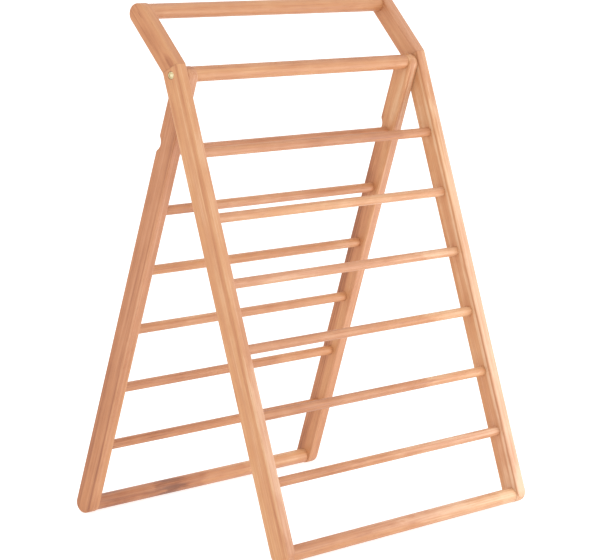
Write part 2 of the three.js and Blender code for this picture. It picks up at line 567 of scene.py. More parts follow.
@dataclass(frozen=True)
class Brass:
    """Handled brass: patches of olive patina, and fine turning marks."""

    bright: str = "E6DAB4"
    aged: str = "8E865E"
    roughness: float = 0.26
    relief: float = 0.03 * MM

    def dress(self, name: str, origin: Array) -> bpy.types.Material:
        """Makes the material of one brass piece.

        Turning marks are rings about the pivot: a noise of the distance from the axis.

        Args:
            name: The material's name.
            origin: A point on the piece's axis.

        Returns:
            The material.
        """
        paint = Paint(name)
        local = paint.local(origin, (0, 0, 0))
        x, y, z = paint.split(local)
        flat = paint.node("ShaderNodeCombineXYZ", None, {0: 0.0, 1: y, 2: z})
        radius = paint.vector("LENGTH", flat, output=1)
        turned = paint.node("ShaderNodeCombineXYZ", None, {0: x, 1: radius, 2: 0.0})
        marks = paint.noise(turned, (900, 7000, 1), 2)
        patina = paint.rise(paint.noise(local, (520, 520, 520), 3, 0.6), 0.4, 0.75)
        colour = paint.blend(patina * 0.5, linear(self.bright), linear(self.aged))
        rough = self.roughness + patina * 0.16 + (marks - 0.5) * 0.14
        inputs = {"Base Color": colour, "Roughness": rough, "Metallic": 1.0}
        return paint.surface(marks, self.relief, inputs)


# --- Shapes -----------------------------------------------------------------------------------


@dataclass(frozen=True)
class Shell:
    """A closed surface before it is a mesh: its points and its faces."""

    points: Array
    faces: Array

    def turned_to(self, placing: "Placing") -> "Shell":
        """The same surface in the rack's frame."""
        return Shell(placing.place(self.points), self.faces)


def gather(shells: Iterable[Shell]) -> Shell:
    """Puts separate surfaces into one.

    Args:
        shells: The surfaces.

    Returns:
        One surface that holds them all.
    """
    held = list(shells)
    starts = np.cumsum([0] + [len(shell.points) for shell in held[:-1]])
    faces = np.concatenate([shell.faces + start for shell, start in zip(held, starts)])
    return Shell(np.concatenate([shell.points for shell in held]), faces)


def ringed(points: Array) -> Shell:
    """Joins a grid of points whose columns go round and meet.

    Each face takes a point, the next in its row, and the two above them.

    Args:
        points: Rows by columns by 3.

    Returns:
        The surface.
    """
    rows, columns = points.shape[:2]
    index = np.arange(rows * columns).reshape(rows, columns)
    after = np.roll(index, -1, axis=1)
    faces = np.stack([index[:-1], after[:-1], after[1:], index[1:]], axis=-1).reshape(-1, 4)
    return Shell(points.reshape(-1, 3), faces)


def lathe(profile: Array, columns: int = 64) -> Shell:
    """Turns a profile about the X axis.

    A point at distance x and radius r goes to (x, r cos a, r sin a) for angles a round the circle.

    Args:
        profile: Rows of x and radius that start and end at radius 0.
        columns: Points in each circle.

    Returns:
        The closed surface.
    """
    angle = np.linspace(0, 2 * np.pi, columns, endpoint=False)
    x = np.repeat(profile[:, :1], columns, axis=1)
    y = profile[:, 1:] * np.cos(angle)
    z = profile[:, 1:] * np.sin(angle)
    return ringed(np.stack([x, y, z], axis=-1))


def arc(centre: Pair, radius: float, start: float, end: float, count: int) -> Array:
    """Points along part of a circle: the centre plus the radius times (cos a, sin a).

    Args:
        centre: The circle's centre.
        radius: Its radius.
        start: The first angle, in degrees.
        end: The last angle.
        count: How many points.

    Returns:
        The points, count by 2.
    """
    angle = np.radians(np.linspace(start, end, count))
    return np.array(centre) + radius * np.stack([np.cos(angle), np.sin(angle)], axis=-1)


@dataclass(frozen=True)
class Placing:
    """Where a piece's own frame stands: its origin, and its tilt about X in radians."""

    origin: Array
    tilt: float

    @property
    def up(self) -> Array:
        """The direction of the frame's own Z."""
        return np.array([0.0, -math.sin(self.tilt), math.cos(self.tilt)])

    @property
    def back(self) -> Array:
        """The direction of the frame's own Y."""
        return np.array([0.0, math.cos(self.tilt), math.sin(self.tilt)])

    def place(self, points: Array) -> Array:
        """Moves points from this frame to the rack's: x, y and z along the three directions.

        Args:
            points: The points, with x, y and z last.

        Returns:
            The moved points.
        """
        across = np.array([1.0, 0.0, 0.0])
        turn = np.stack([across, self.back, self.up])
        return points @ turn + self.origin

    def moved(self, x: float = 0, y: float = 0, z: float = 0) -> "Placing":
        """The same tilt, from another origin in this frame."""
        return Placing(self.place(np.array([x, y, z])), self.tilt)


@dataclass(frozen=True)
class Socket:
    """A hole from a stile's inner face: its height, and (depth, radius) steps going in."""

    height: float
    steps: tuple[Pair, ...]


@dataclass(frozen=True)
class Scoop:
    """A round seat in a stile's back edge, with softened lips."""

    height: float
    radius: float = 18 * MM
    depth: float = 6 * MM
    lip: float = 8 * MM
    span: float = 20 * MM

    def steps(self) -> Array:
        """Close steps each side of the seat's middle, to just past its lips."""
        return np.linspace(-17.5, 17.5, 49) * MM

    def hollow(self, z: Array, edge: float) -> Array:
        """How far back the edge stands at each height.

        In the seat it follows the seat's circle; near its ends it follows a lip circle that
        touches both the seat and the straight edge; beyond them it is straight.

        Args:
            z: The heights.
            edge: Where the straight edge stands.

        Returns:
            The edge's distance from the stile's middle.
        """
        away = np.abs(z - self.height)
        seat = edge - self.depth + self.radius
        level = seat - (edge - self.lip)
        end = math.sqrt((self.radius + self.lip) ** 2 - level**2)
        meet = end * self.radius / (self.radius + self.lip)
        inside = seat - np.sqrt(np.maximum(self.radius**2 - away**2, 0))
        curve = edge - self.lip + np.sqrt(np.maximum(self.lip**2 - (end - away) ** 2, 0))
        return np.where(away <= meet, inside, np.where(away <= end, curve, edge))


@dataclass(frozen=True)
class Plank:
    """A stile or arm: two full-round ends, and long edges rounded over.

    Its depth is a hair under the frame's, so that a true round stays within a faceted one.
    """

    low: float
    high: float
    thickness: float = 26 * MM
    depth: float = 37.94 * MM
    rounding: float = 3.5 * MM
    scoop: Scoop | None = None
    straight_steps: int = 24
    end_steps: int = 40
    edge_steps: int = 9

    def _heights(self) -> Array:
        """Heights of the straight part's points, closer together at the scoop.

        Returns:
            The heights, from the lowest.
        """
        spaced = np.linspace(self.low, self.high, self.straight_steps)
        if self.scoop is None:
            return spaced
        near = self.scoop.height + self.scoop.steps()
        far = spaced[np.abs(spaced - self.scoop.height) > self.scoop.span]
        return np.sort(np.concatenate([far, near]))

    def _outline(self) -> tuple[Array, Array, Array]:
        """Goes once round the side face: up the back edge, over the top, down the front, under.

        Returns:
            The points, their outward directions, and the point on the middle line that each
            one faces, each count by 2 in Y and Z.
        """
        half = self.depth / 2
        z = self._heights()
        back = np.full_like(z, half) if self.scoop is None else self.scoop.hollow(z, half)
        rear = np.stack([back, z], axis=-1)
        front = np.stack([np.full_like(z, -half), z], axis=-1)[::-1]
        top = arc((0, self.high), half, 0, 180, self.end_steps + 1)[1:-1]
        foot = arc((0, self.low), half, 180, 360, self.end_steps + 1)[1:-1]
        points = np.concatenate([rear, top, front, foot])
        along = np.roll(points, -1, axis=0) - np.roll(points, 1, axis=0)
        along /= np.linalg.norm(along, axis=1, keepdims=True)
        outward = np.stack([along[:, 1], -along[:, 0]], axis=-1)
        level = np.clip(points[:, 1], self.low, self.high)
        return points, outward, np.stack([np.zeros(len(points)), level], axis=-1)

    def shell(self) -> Shell:
        """Carries the outline across the thickness.

        At a rounding angle a the outline is drawn in by r (1 - sin a) and stands at
        x = h - r + r cos a. The flat face runs from there to the middle line.

        Returns:
            The closed surface, in the plank's own frame.
        """
        points, outward, middle = self._outline()
        half, r = self.thickness / 2, self.rounding
        angle = np.linspace(0, np.pi / 2, self.edge_steps)
        x = np.concatenate([[half, half], half - r + r * np.cos(angle)])
        inset = np.concatenate([[r, r + 0.5 * MM], r - r * np.sin(angle)])
        closing = np.concatenate([[1.0], np.zeros(self.edge_steps + 1)])
        x = np.concatenate([-x, x[::-1]])[:, None]
        inset = np.concatenate([inset, inset[::-1]])[:, None, None]
        closing = np.concatenate([closing, closing[::-1]])[:, None, None]
        rim = points - inset * outward
        flat = rim + closing * (middle - rim)
        x = np.repeat(x, len(points), axis=1)
        return ringed(np.stack([x, flat[..., 0], flat[..., 1]], axis=-1))


def stepped_hole(socket: Socket, side: Side, thickness: float) -> Shell:
    """The body that a drill removes: a circle of each step's radius, carried along X.

    Args:
        socket: The hole, from the stile's inner face.
        side: Which side's stile it is cut in.
        thickness: The stile's thickness.

    Returns:
        The closed surface, in the stile's own frame.
    """
    rows = [(-OVERSHOOT, 0.0), (-OVERSHOOT, socket.steps[0][1])]
    last = 0.0
    for depth, radius in socket.steps:
        if last:
            rows.append((last, radius))
        rows.append((depth, radius))
        last = depth
    rows.append((last, 0.0))
    profile = np.array(rows)
    profile[:, 0] = side.value * (profile[:, 0] - thickness / 2)
    drill = lathe(profile, 48)
    return Shell(drill.points + np.array([0, 0, socket.height]), drill.faces)


# --- Meshes -----------------------------------------------------------------------------------


@dataclass
class Workshop:
    """Turns surfaces into pieces, and keeps count of them."""

    made: list[str] = field(default_factory=list)

    @staticmethod
    def mesh(name: str, shell: Shell) -> bpy.types.Object:
        """Makes an object of a closed surface, with its seams merged and its faces outward.

        Args:
            name: The object's name.
            shell: The surface.

        Returns:
            The object, at the origin.
        """
        data = bpy.data.meshes.new(name)
        data.from_pydata(shell.points.tolist(), [], shell.faces.tolist())
        bm = bmesh.new()
        bm.from_mesh(data)
        bmesh.ops.remove_doubles(bm, verts=bm.verts, dist=1e-6)
        bmesh.ops.dissolve_degenerate(bm, edges=bm.edges, dist=1e-7)
        bmesh.ops.recalc_face_normals(bm, faces=bm.faces)
        bm.to_mesh(data)
        bm.free()
        made = bpy.data.objects.new(name, data)
        bpy.context.scene.collection.objects.link(made)
        return made

    def cut(self, blank: bpy.types.Object, tool: Shell) -> None:
        """Cuts a tool's body out of a blank.

        Args:
            blank: The object to cut.
            tool: Closed surfaces that don't overlap each other.
        """
        cutter = self.mesh("cutter", tool)
        difference = blank.modifiers.new("cut", "BOOLEAN")
        difference.operation = "DIFFERENCE"
        difference.solver = "EXACT"
        difference.object = cutter
        graph = bpy.context.evaluated_depsgraph_get()
        done = bpy.data.meshes.new_from_object(blank.evaluated_get(graph))
        blank.modifiers.clear()
        old, blank.data = blank.data, done
        name, spent = old.name, cutter.data
        bpy.data.objects.remove(cutter)
        for mesh in (spent, old):
            bpy.data.meshes.remove(mesh)
        done.name = name

    def keep(
        self,
        piece: bpy.types.Object,
        body: Body,
        slot: Slot,
        node: str,
        material: bpy.types.Material,
        crease: float = 32,
    ) -> None:
        """Dresses a finished piece and hands it to the frame.

        Args:
            piece: The object.
            body: The body that it moves with.
            slot: Not used.
            node: The solid that it stands for.
            material: Its material.
            crease: The angle past which an edge is sharp, in degrees.
        """
        piece.data.materials.clear()
        piece.data.materials.append(material)
        piece.data.shade_smooth()
        piece.data.set_sharp_from_angle(angle=math.radians(crease))
        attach(piece, body.value)
        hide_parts(node)
        self.made.append(piece.name)
        log.info("%s: %d faces, rides on %s", piece.name, len(piece.data.polygons), body.value)


# --- Sizes ------------------------------------------------------------------------------------


@dataclass(frozen=True)
class Joinery:
    """Sizes that the two frames share, in metres."""

    thickness: float = 26 * MM
    depth: float = 38 * MM
    rung: float = 9 * MM
    rail: float = 14 * MM
    tenon: float = 8 * MM
    reach: float = 15 * MM
    set_in: float = 3 * MM
    play: float = 0.3 * MM
    relief: float = 0.5 * MM
    end_margin: float = 0.5 * MM
    bolt: float = 3 * MM
    recess: float = 7 * MM
    recess_depth: float = 5 * MM
    insert: float = 5 * MM
    insert_bore: float = 20.5 * MM
    ease: float = 0.6 * MM

    @property
    def rail_from_end(self) -> float:
        """From a stile's end to its rail's axis."""
        return self.rail + self.end_margin

    def rung_socket(self, height: float) -> Socket:
        """The blind hole for a rung."""
        return Socket(height, ((self.reach + self.relief, self.rung + self.play / 2),))

    def rail_socket(self, height: float) -> Socket:
        """The shouldered hole for a rail.

        Args:
            height: Its place along the stile.

        Returns:
            The hole.
        """
        shoulder = (self.set_in + self.play, self.rail + self.play / 2)
        tenon = (self.reach + self.relief, self.tenon + self.play)
        return Socket(height, (shoulder, tenon))

    def rung_profile(self, face: float) -> Array:
        """A rung's half outline, with eased ends.

        Args:
            face: How far the stiles' inner faces are from the middle.

        Returns:
            Rows of x and radius.
        """
        end = face + self.reach
        half = np.array([[end, 0.0], [end, self.rung - self.ease], [end - self.ease, self.rung]])
        return self.mirrored(half)

    def rail_profile(self, face: float) -> Array:
        """A rail's half outline, with a tenon at each end.

        Args:
            face: How far the stiles' inner faces are from the middle.

        Returns:
            Rows of x and radius.
        """
        end, shoulder = face + self.reach, face + self.set_in
        half = np.array(
            [
                [end, 0.0],
                [end, self.tenon - self.ease],
                [end - self.ease, self.tenon],
                [shoulder, self.tenon],
                [shoulder, self.rail],
            ]
        )
        return self.mirrored(half)

    @staticmethod
    def mirrored(half: Array) -> Array:
        """Adds the other end, with x negated, and two points that part the long side in three."""
        inner = half[-1] * np.array([[-1.0 / 3, 1.0], [1.0 / 3, 1.0]])
        return np.concatenate([half * np.array([-1.0, 1.0]), inner, half[::-1]])


# --- Frames -----------------------------------------------------------------------------------


@dataclass
class Ladder:
    """What the front and rear frames have in common: two stiles with rungs and a bottom rail."""

    shop: Workshop
    teak: Teak
    joinery: Joinery
    prefix: str
    body: Body
    first_seed: float
    rungs: int = 6

    @property
    def placing(self) -> Placing:
        """The frame that runs up the stiles from the pivot."""
        down = centre_of(f"{self.prefix}_bottom_rail") - pivot_point()
        return Placing(pivot_point(), math.atan2(down[1], -down[2]))

    def drop(self, node: str) -> float:
        """A node's height in the stiles' frame."""
        return float((centre_of(node) - pivot_point()) @ self.placing.up)

    def stile_x(self, side: Side) -> float:
        """The middle of one stile along X."""
        return float(centre_of(f"{self.prefix}_stile_{side.label}")[0])

    @property
    def inner_face(self) -> float:
        """How far the stiles' inner faces are from the middle."""
        return self.stile_x(Side.RIGHT) - self.joinery.thickness / 2

    @property
    def foot(self) -> float:
        """The middle of a stile's round lower end, in the stiles' frame."""
        j = self.joinery
        return self.drop(f"{self.prefix}_bottom_rail") - j.rail_from_end + j.depth / 2

    def rung_names(self) -> list[str]:
        """The rungs' nodes, from the top."""
        return [f"{self.prefix}_rung_{i + 1}" for i in range(self.rungs)]

    def sockets(self) -> list[Socket]:
        """The holes for the rungs and the bottom rail."""
        holes = [self.joinery.rung_socket(self.drop(name)) for name in self.rung_names()]
        return holes + [self.joinery.rail_socket(self.drop(f"{self.prefix}_bottom_rail"))]

    def drill(
        self, stile: bpy.types.Object, holes: list[Socket], side: Side, placing: Placing
    ) -> None:
        """Cuts the holes in a stile.

        Args:
            stile: The stile or arm.
            holes: Its holes.
            side: Which side it stands on.
            placing: Its own frame.
        """
        tools = [stepped_hole(hole, side, self.joinery.thickness) for hole in holes]
        self.shop.cut(stile, gather(tools).turned_to(placing))

    def keep_plank(
        self,
        piece: bpy.types.Object,
        node: str,
        placing: Placing,
        board: Board,
        seam: Triple | None = None,
    ) -> None:
        """Dresses a finished stile or arm and hands it over.

        Args:
            piece: The stile or arm.
            node: The node that it stands for.
            placing: Its own frame.
            board: Its wood.
            seam: The mitre's line, if it has one.
        """
        half = (self.joinery.thickness / 2, self.joinery.depth / 2)
        wood = Cut(board, placing.origin, (placing.tilt, 0.0, 0.0), half, seam)
        self.shop.keep(piece, self.body, Slot.STILE, node, self.teak.dress(f"teak {node}", wood))

    def bar(self, node: str, profile: Array, slot: Slot, board: Board) -> None:
        """Makes a rung or rail on its node's axis.

        Args:
            node: The node that it stands for.
            profile: Its x and radius.
            slot: Its material slot.
            board: Its wood.
        """
        centre = centre_of(node)
        shell = lathe(profile)
        piece = self.shop.mesh(f"teak_{node}", Shell(shell.points + centre, shell.faces))
        wood = Cut(board, centre, (0.0, math.pi / 2, 0.0))
        self.shop.keep(piece, self.body, slot, node, self.teak.dress(f"teak {node}", wood))

    def bar_board(self, node: str, seed: float, step: int) -> Board:
        """The wood of a rung or bottom rail, with its patches of figure and painted sheen and
        shade.

        The log's heart is 80 mm away, and goes round by about the golden angle at each step.

        Args:
            node: The bar's node.
            seed: Its place among this frame's seeds.
            step: Its place in the turns.

        Returns:
            The board.
        """
        angle = 2.4 * step + 0.7
        heart = (0.08 * math.cos(angle), 0.08 * math.sin(angle))
        figures_and_light = BAR_FIGURES_AND_LIGHT.get(node, ())
        return Board(self.first_seed + seed, heart, tone=BAR_TONES[node], figures_and_light=figures_and_light)

    def build_bars(self) -> None:
        """Makes the rungs and the bottom rail."""
        rung = self.joinery.rung_profile(self.inner_face)
        for i, node in enumerate(self.rung_names()):
            self.bar(node, rung, Slot.RUNG, self.bar_board(node, 1.7 * i, i))
        node = f"{self.prefix}_bottom_rail"
        rail = self.joinery.rail_profile(self.inner_face)
        self.bar(node, rail, Slot.RAIL, self.bar_board(node, 11.3, 4))


@dataclass
class FrontFrame(Ladder):
    """The front frame, whose arms lean back above the hinge."""

    bend: float = 12.5 * MM

    @property
    def arm_placing(self) -> Placing:
        """The frame that runs up the arms from the bend.

        Returns:
            Its origin on the bend, and its tilt.
        """
        start = self.placing.moved(z=self.bend).origin
        along = centre_of("front_top_rail") - start
        return Placing(start, math.atan2(-along[1], along[2]))

    @property
    def mitre(self) -> float:
        """Half of the angle between arm and stile, in radians."""
        return (self.placing.tilt - self.arm_placing.tilt) / 2

    def mitre_block(self, sign: int) -> Shell:
        """The block that cuts the mitre: a lathe of four columns, past the joint plane.

        Args:
            sign: 1 for the stile's block above the joint, -1 for the arm's below it.

        Returns:
            The block, in the joint's own frame.
        """
        size, gap = 120 * MM, 0.1 * MM
        corner = size / math.sqrt(2)
        rows = np.array([[gap, 0.0], [gap, corner], [size, corner], [size, 0.0]])
        block = lathe(rows, 4)
        x, y, z = block.points.T
        return Shell(np.stack([y, -z, sign * x], axis=-1), block.faces)

    def build_stile(self, side: Side) -> None:
        """Makes a stile: a plank past the bend, mitred, drilled and counterbored.

        Args:
            side: Which stile.
        """
        node = f"front_stile_{side.label}"
        j = self.joinery
        placing = self.placing.moved(x=self.stile_x(side))
        blank = Plank(self.foot, self.bend + 2 * j.depth)
        piece = self.shop.mesh(f"teak_{node}", blank.shell().turned_to(placing))
        joint = Placing(placing.moved(z=self.bend).origin, placing.tilt - self.mitre)
        self.shop.cut(piece, self.mitre_block(1).turned_to(joint))
        shank = (j.thickness - j.recess_depth, j.bolt + j.play)
        bolt_hole = Socket(0.0, (shank, (j.thickness + OVERSHOOT, j.recess)))
        self.drill(piece, [*self.sockets(), bolt_hole], side, placing)
        seam = (math.sin(self.mitre), math.cos(self.mitre), self.bend * math.cos(self.mitre))
        self.keep_plank(piece, node, placing, FRONT_STILES[side], seam)

    def build_arm(self, side: Side) -> None:
        """Makes an arm: a short plank, mitred and drilled for the top rail.

        Args:
            side: Which arm.
        """
        node = f"front_arm_{side.label}"
        j = self.joinery
        placing = self.arm_placing.moved(x=self.stile_x(side))
        rail = float((centre_of("front_top_rail") - placing.origin) @ placing.up)
        blank = Plank(-2 * j.depth, rail + j.rail_from_end - j.depth / 2)
        piece = self.shop.mesh(f"teak_{node}", blank.shell().turned_to(placing))
        joint = Placing(placing.origin, placing.tilt + self.mitre)
        self.shop.cut(piece, self.mitre_block(-1).turned_to(joint))
        self.drill(piece, [j.rail_socket(rail)], side, placing)
        seam = (-math.sin(self.mitre), math.cos(self.mitre), 0.0)
        self.keep_plank(piece, node, placing, ARMS[side], seam)

    def build_dowels(self, side: Side) -> None:
        """Makes the fluted dowels inside a mitre.

        Args:
            side: Which mitre.
        """
        tilt = self.placing.tilt - self.mitre
        board = Board(self.first_seed + 21, tone=-0.2)
        for place in ("front", "rear"):
            node = f"mitre_dowel_{side.label}_{place}"
            centre = centre_of(node)
            shell = FlutedDowel().shell().turned_to(Placing(centre, tilt))
            piece = self.shop.mesh(f"wood_{node}", shell)
            finish = self.teak.dress(f"wood {node}", Cut(board, centre, (tilt, 0.0, 0.0)))
            self.shop.keep(piece, self.body, Slot.DOWEL, node, finish, crease=50)

    def build(self) -> None:
        """Makes every piece of the front frame."""
        for side in Side:
            self.build_stile(side)
            self.build_arm(side)
            self.build_dowels(side)
        profile = self.joinery.rail_profile(self.inner_face)
        self.bar("front_top_rail", profile, Slot.RAIL, TOP_RAIL)
        self.build_bars()


@dataclass
class RearFrame(Ladder):
    """The rear frame, which hangs between the front stiles on the hinge's axis."""

    def seat_height(self) -> float:
        """Where the front top rail rests when the rear frame is swung up against it.

        The seat is as far from the pivot as that rail is, on a circle about the pivot.

        Returns:
            The seat's height in the stiles' frame.
        """
        scoop = Scoop(0.0)
        away = float(np.linalg.norm(centre_of("front_top_rail") - pivot_point()))
        across = self.joinery.depth / 2 - scoop.depth + self.joinery.rail + self.joinery.play
        return -math.sqrt(away**2 - across**2)

    def build_stile(self, side: Side) -> None:
        """Makes a stile, with its seat, its sockets and the hinge's bore.

        Args:
            side: Which stile.
        """
        node = f"rear_stile_{side.label}"
        j = self.joinery
        placing = self.placing.moved(x=self.stile_x(side))
        high = j.rail_from_end - j.depth / 2
        blank = Plank(self.foot, high, scoop=Scoop(self.seat_height()))
        piece = self.shop.mesh(f"teak_{node}", blank.shell().turned_to(placing))
        shoulder, tenon = j.rail_socket(0.0).steps
        hinge = Socket(0.0, (shoulder, tenon, (j.thickness + OVERSHOOT, j.bolt + j.play)))
        self.drill(piece, [*self.sockets(), hinge], side, placing)
        self.keep_plank(piece, node, placing, REAR_STILES[side])

    def build_pivot_rail(self) -> None:
        """Makes the rail on the hinge's axis, bored from each end for an insert."""
        j = self.joinery
        profile = j.rail_profile(self.inner_face)
        end = self.inner_face + j.reach
        bore, floor = j.insert + j.play, end - j.insert_bore
        cup = np.array([[floor, 0.0], [floor, bore], [end, bore]])
        rows = np.concatenate([cup * np.array([-1.0, 1.0]), profile[1:-1], cup[::-1]])
        self.bar("rear_pivot_rail", rows, Slot.RAIL, PIVOT_RAIL)

    def build(self) -> None:
        """Makes every wooden piece of the rear frame."""
        for side in Side:
            self.build_stile(side)
        self.build_pivot_rail()
        self.build_bars()


# --- Small pieces -----------------------------------------------------------------------------


@dataclass(frozen=True)
class FlutedDowel:
    """A small dowel with lengthwise flutes and chamfered ends, along its own Z."""

    radius: float = 3 * MM
    length: float = 22 * MM
    chamfer: float = 0.7 * MM
    flute: float = 0.22 * MM
    flutes: int = 14
    columns: int = 112

    def shell(self) -> Shell:
        """Turns the outline about Z. The radius at angle a is r - f cos(n a / 2) squared.

        Returns:
            The closed surface.
        """
        half, ease = self.length / 2, self.chamfer
        z = np.array([-half, -half, -half + ease, half - ease, half, half])
        end = self.radius - ease
        size = np.array([0.0, end, self.radius, self.radius, end, 0.0])
        angle = np.linspace(0, 2 * np.pi, self.columns, endpoint=False)
        dip = self.flute * np.cos(self.flutes * angle / 2) ** 2
        r = np.maximum(size[:, None] - dip * (size[:, None] > self.radius / 2), 0)
        points = [r * np.cos(angle), r * np.sin(angle), np.repeat(z[:, None], len(angle), axis=1)]
        return ringed(np.stack(points, axis=-1))


@dataclass(frozen=True)
class CuppedHead:
    """A bolt's head: a raised round rim, a groove inside it and a domed middle."""

    radius: float = 6.5 * MM
    rim: float = 0.7 * MM
    groove: float = 2.0 * MM
    wall: float = 1.6 * MM
    dome: float = 4.1 * MM
    rise: float = 1.8 * MM

    def profile(self, top: float) -> Array:
        """The head's outer half outline, from its edge to the axis.

        The rim is an arc. The dome at angle a is rise sin a above the groove, at radius
        dome cos a.

        Args:
            top: The rim's highest x.

        Returns:
            Rows of x and radius.
        """
        rim = arc((top - self.rim, self.radius - self.rim), self.rim, 90, -60, 9)
        low, inner = top - self.groove, self.radius - self.wall
        groove = np.array([[low + 0.1 * MM, inner], [low, inner - self.rim]])
        angle = np.radians(np.linspace(8, 90, 12))
        dome = np.stack([low + self.rise * np.sin(angle), self.dome * np.cos(angle)], axis=-1)
        dome[-1, 1] = 0.0
        return np.concatenate([rim, groove, dome])


@dataclass
class Hinge:
    """The brass at one end of the hinge: bolt, washer and threaded insert."""

    shop: Workshop
    brass: Brass
    joinery: Joinery
    side: Side
    head: CuppedHead = CuppedHead()
    chamfer: float = 0.5 * MM
    washer_radius: float = 9 * MM
    washer_ease: float = 0.2 * MM
    insert_hole: float = 3.3 * MM
    thread_pitch: float = 2.5 * MM
    thread_depth: float = 0.9 * MM
    columns: int = 72

    def add(self, kind: str, shell: Shell, crease: float = 40) -> None:
        """Makes one brass piece from a surface along +X, mirrored to its side.

        Args:
            kind: The node's kind: bolt, washer or insert.
            shell: The surface for the right side.
            crease: The angle past which an edge is sharp, in degrees.
        """
        node = f"pivot_{kind}_{self.side.label}"
        pivot = pivot_point()
        points = shell.points * np.array([self.side.value, 1, 1]) + pivot * np.array([0, 1, 1])
        piece = self.shop.mesh(f"brass_{node}", Shell(points, shell.faces))
        finish = self.brass.dress(f"brass {node}", pivot)
        self.shop.keep(piece, Body.REAR, Slot.BRASS, node, finish, crease)

    def reach(self, kind: str) -> Pair:
        """The node's nearest and farthest x from the middle."""
        low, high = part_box(f"pivot_{kind}_right")
        return low[0], high[0]

    def bolt(self) -> Shell:
        """A chamfered shank with a cupped head, turned about X.

        Returns:
            The surface for the right side.
        """
        j = self.joinery
        tip, top = self.reach("bolt")
        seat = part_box("front_stile_right")[1][0] - j.recess_depth + j.play
        start = [
            [tip, 0.0],
            [tip, j.bolt - self.chamfer],
            [tip + self.chamfer, j.bolt],
            [seat, j.bolt],
            [seat, self.head.radius],
        ]
        return lathe(np.concatenate([start, self.head.profile(top)]), self.columns)

    def washer(self) -> Shell:
        """A flat ring with eased edges, turned about X.

        Returns:
            The surface for the right side.
        """
        low, high = self.reach("washer")
        bore = self.joinery.bolt + self.joinery.play
        outer, ease = self.washer_radius, self.washer_ease
        rows = [
            [low, bore],
            [low, outer - ease],
            [low + ease, outer],
            [high - ease, outer],
            [high, outer - ease],
            [high, bore],
            [low, bore],
        ]
        return lathe(np.array(rows), self.columns)

    def insert(self) -> Shell:
        """A sleeve with a coarse outer thread.

        The outer radius at x and angle a drops by the thread's depth times how far
        x / pitch + a / turn is from the nearest whole number.

        Returns:
            The surface for the right side.
        """
        low, high = self.reach("insert")
        x = np.linspace(low, high, 81)
        angle = np.linspace(0, 2 * np.pi, 48, endpoint=False)
        turns = x[:, None] / self.thread_pitch + angle / (2 * np.pi)
        crest = self.joinery.insert
        thread = crest - self.thread_depth * 2 * np.abs(turns - np.round(turns))
        wall = np.full((1, len(angle)), self.insert_hole)
        radius = np.concatenate([wall, thread, wall, wall])
        x = np.concatenate([[low], x, [high], [low]])
        columns = np.repeat(x[:, None], len(angle), axis=1)
        return ringed(np.stack([columns, radius * np.cos(angle), radius * np.sin(angle)], axis=-1))

    def build(self) -> None:
        """Makes the three pieces."""
        self.add("bolt", self.bolt(), 35)
        self.add("washer", self.washer())
        self.add("insert", self.insert())


# --- Wood, with painted sheen and shade -------------------------------------------------------


def stretch(z: float, reach: float, depth: float, crisp: float) -> FigureAndLight:
    """A darker (or paler) stretch that goes right round a rung or rail, in millimetres."""
    return patch((0, 0, z), (60, 60, reach), depth, crisp)


FRONT_STILES: dict[Side, Board] = {
    Side.LEFT: Board(
        3.1,
        (0.03, -0.09),
        runout=0.012,
        tone=-0.03,
        figures_and_light=(
            patch((-13, -15, -420), (9, 5, 900), 0.24, 0.3),
            patch((-13, 10, -80), (9, 9, 45), 0.12),
            # Paler bands on the front face: painted sheen.
            patch((0, -19, -400), (40, 7, 520), -0.03, 0.7),
            patch((0, -19, -670), (40, 8, 170), -0.16, 0.8),
        ),
    ),
    Side.RIGHT: Board(
        8.4,
        (0.10, 0.03),
        runout=0.01,
        tone=-0.05,
        figures_and_light=(
            patch((-13, -11.5, -560), (7, 4.5, 900), -0.3, 0.3),
            patch((-13, -16.5, -450), (6, 2.2, 900), 0.3, 0.4),
            # Paler front face: painted sheen.
            patch((0, -19, -500), (40, 9, 520), -0.2, 0.7),
            # Paler inner face near the top: painted light that lifts the shade by the hinge.
            patch((-13, 0, -90), (20, 30, 120), -0.14, 0.5),
            # Paler all round near the foot: painted sheen.
            patch((0, 0, -860), (40, 40, 70), -0.16, 0.6),
        ),
    ),
}
ARMS: dict[Side, Board] = {
    Side.LEFT: Board(
        5.3,
        (0.05, 0.08),
        runout=0.05,
        tone=0.14,
        figures_and_light=(
            patch((-13, -5, 116), (20, 1.8, 12), 0.34, 0.2),
            patch((-13, -8, 8), (20, 9, 24), 0.26, 0.3),
            patch((-13, 2, 60), (20, 9, 46), 0.1),
            # Paler front face: painted sheen.
            patch((0, -19, 60), (40, 7, 100), -0.09, 0.7),
        ),
    ),
    Side.RIGHT: Board(
        6.6,
        (0.08, -0.05),
        runout=0.03,
        tone=0.1,
        # Paler front face: painted sheen.
        figures_and_light=(patch((0, -19, 60), (40, 7, 100), -0.19, 0.7),),
    ),
}
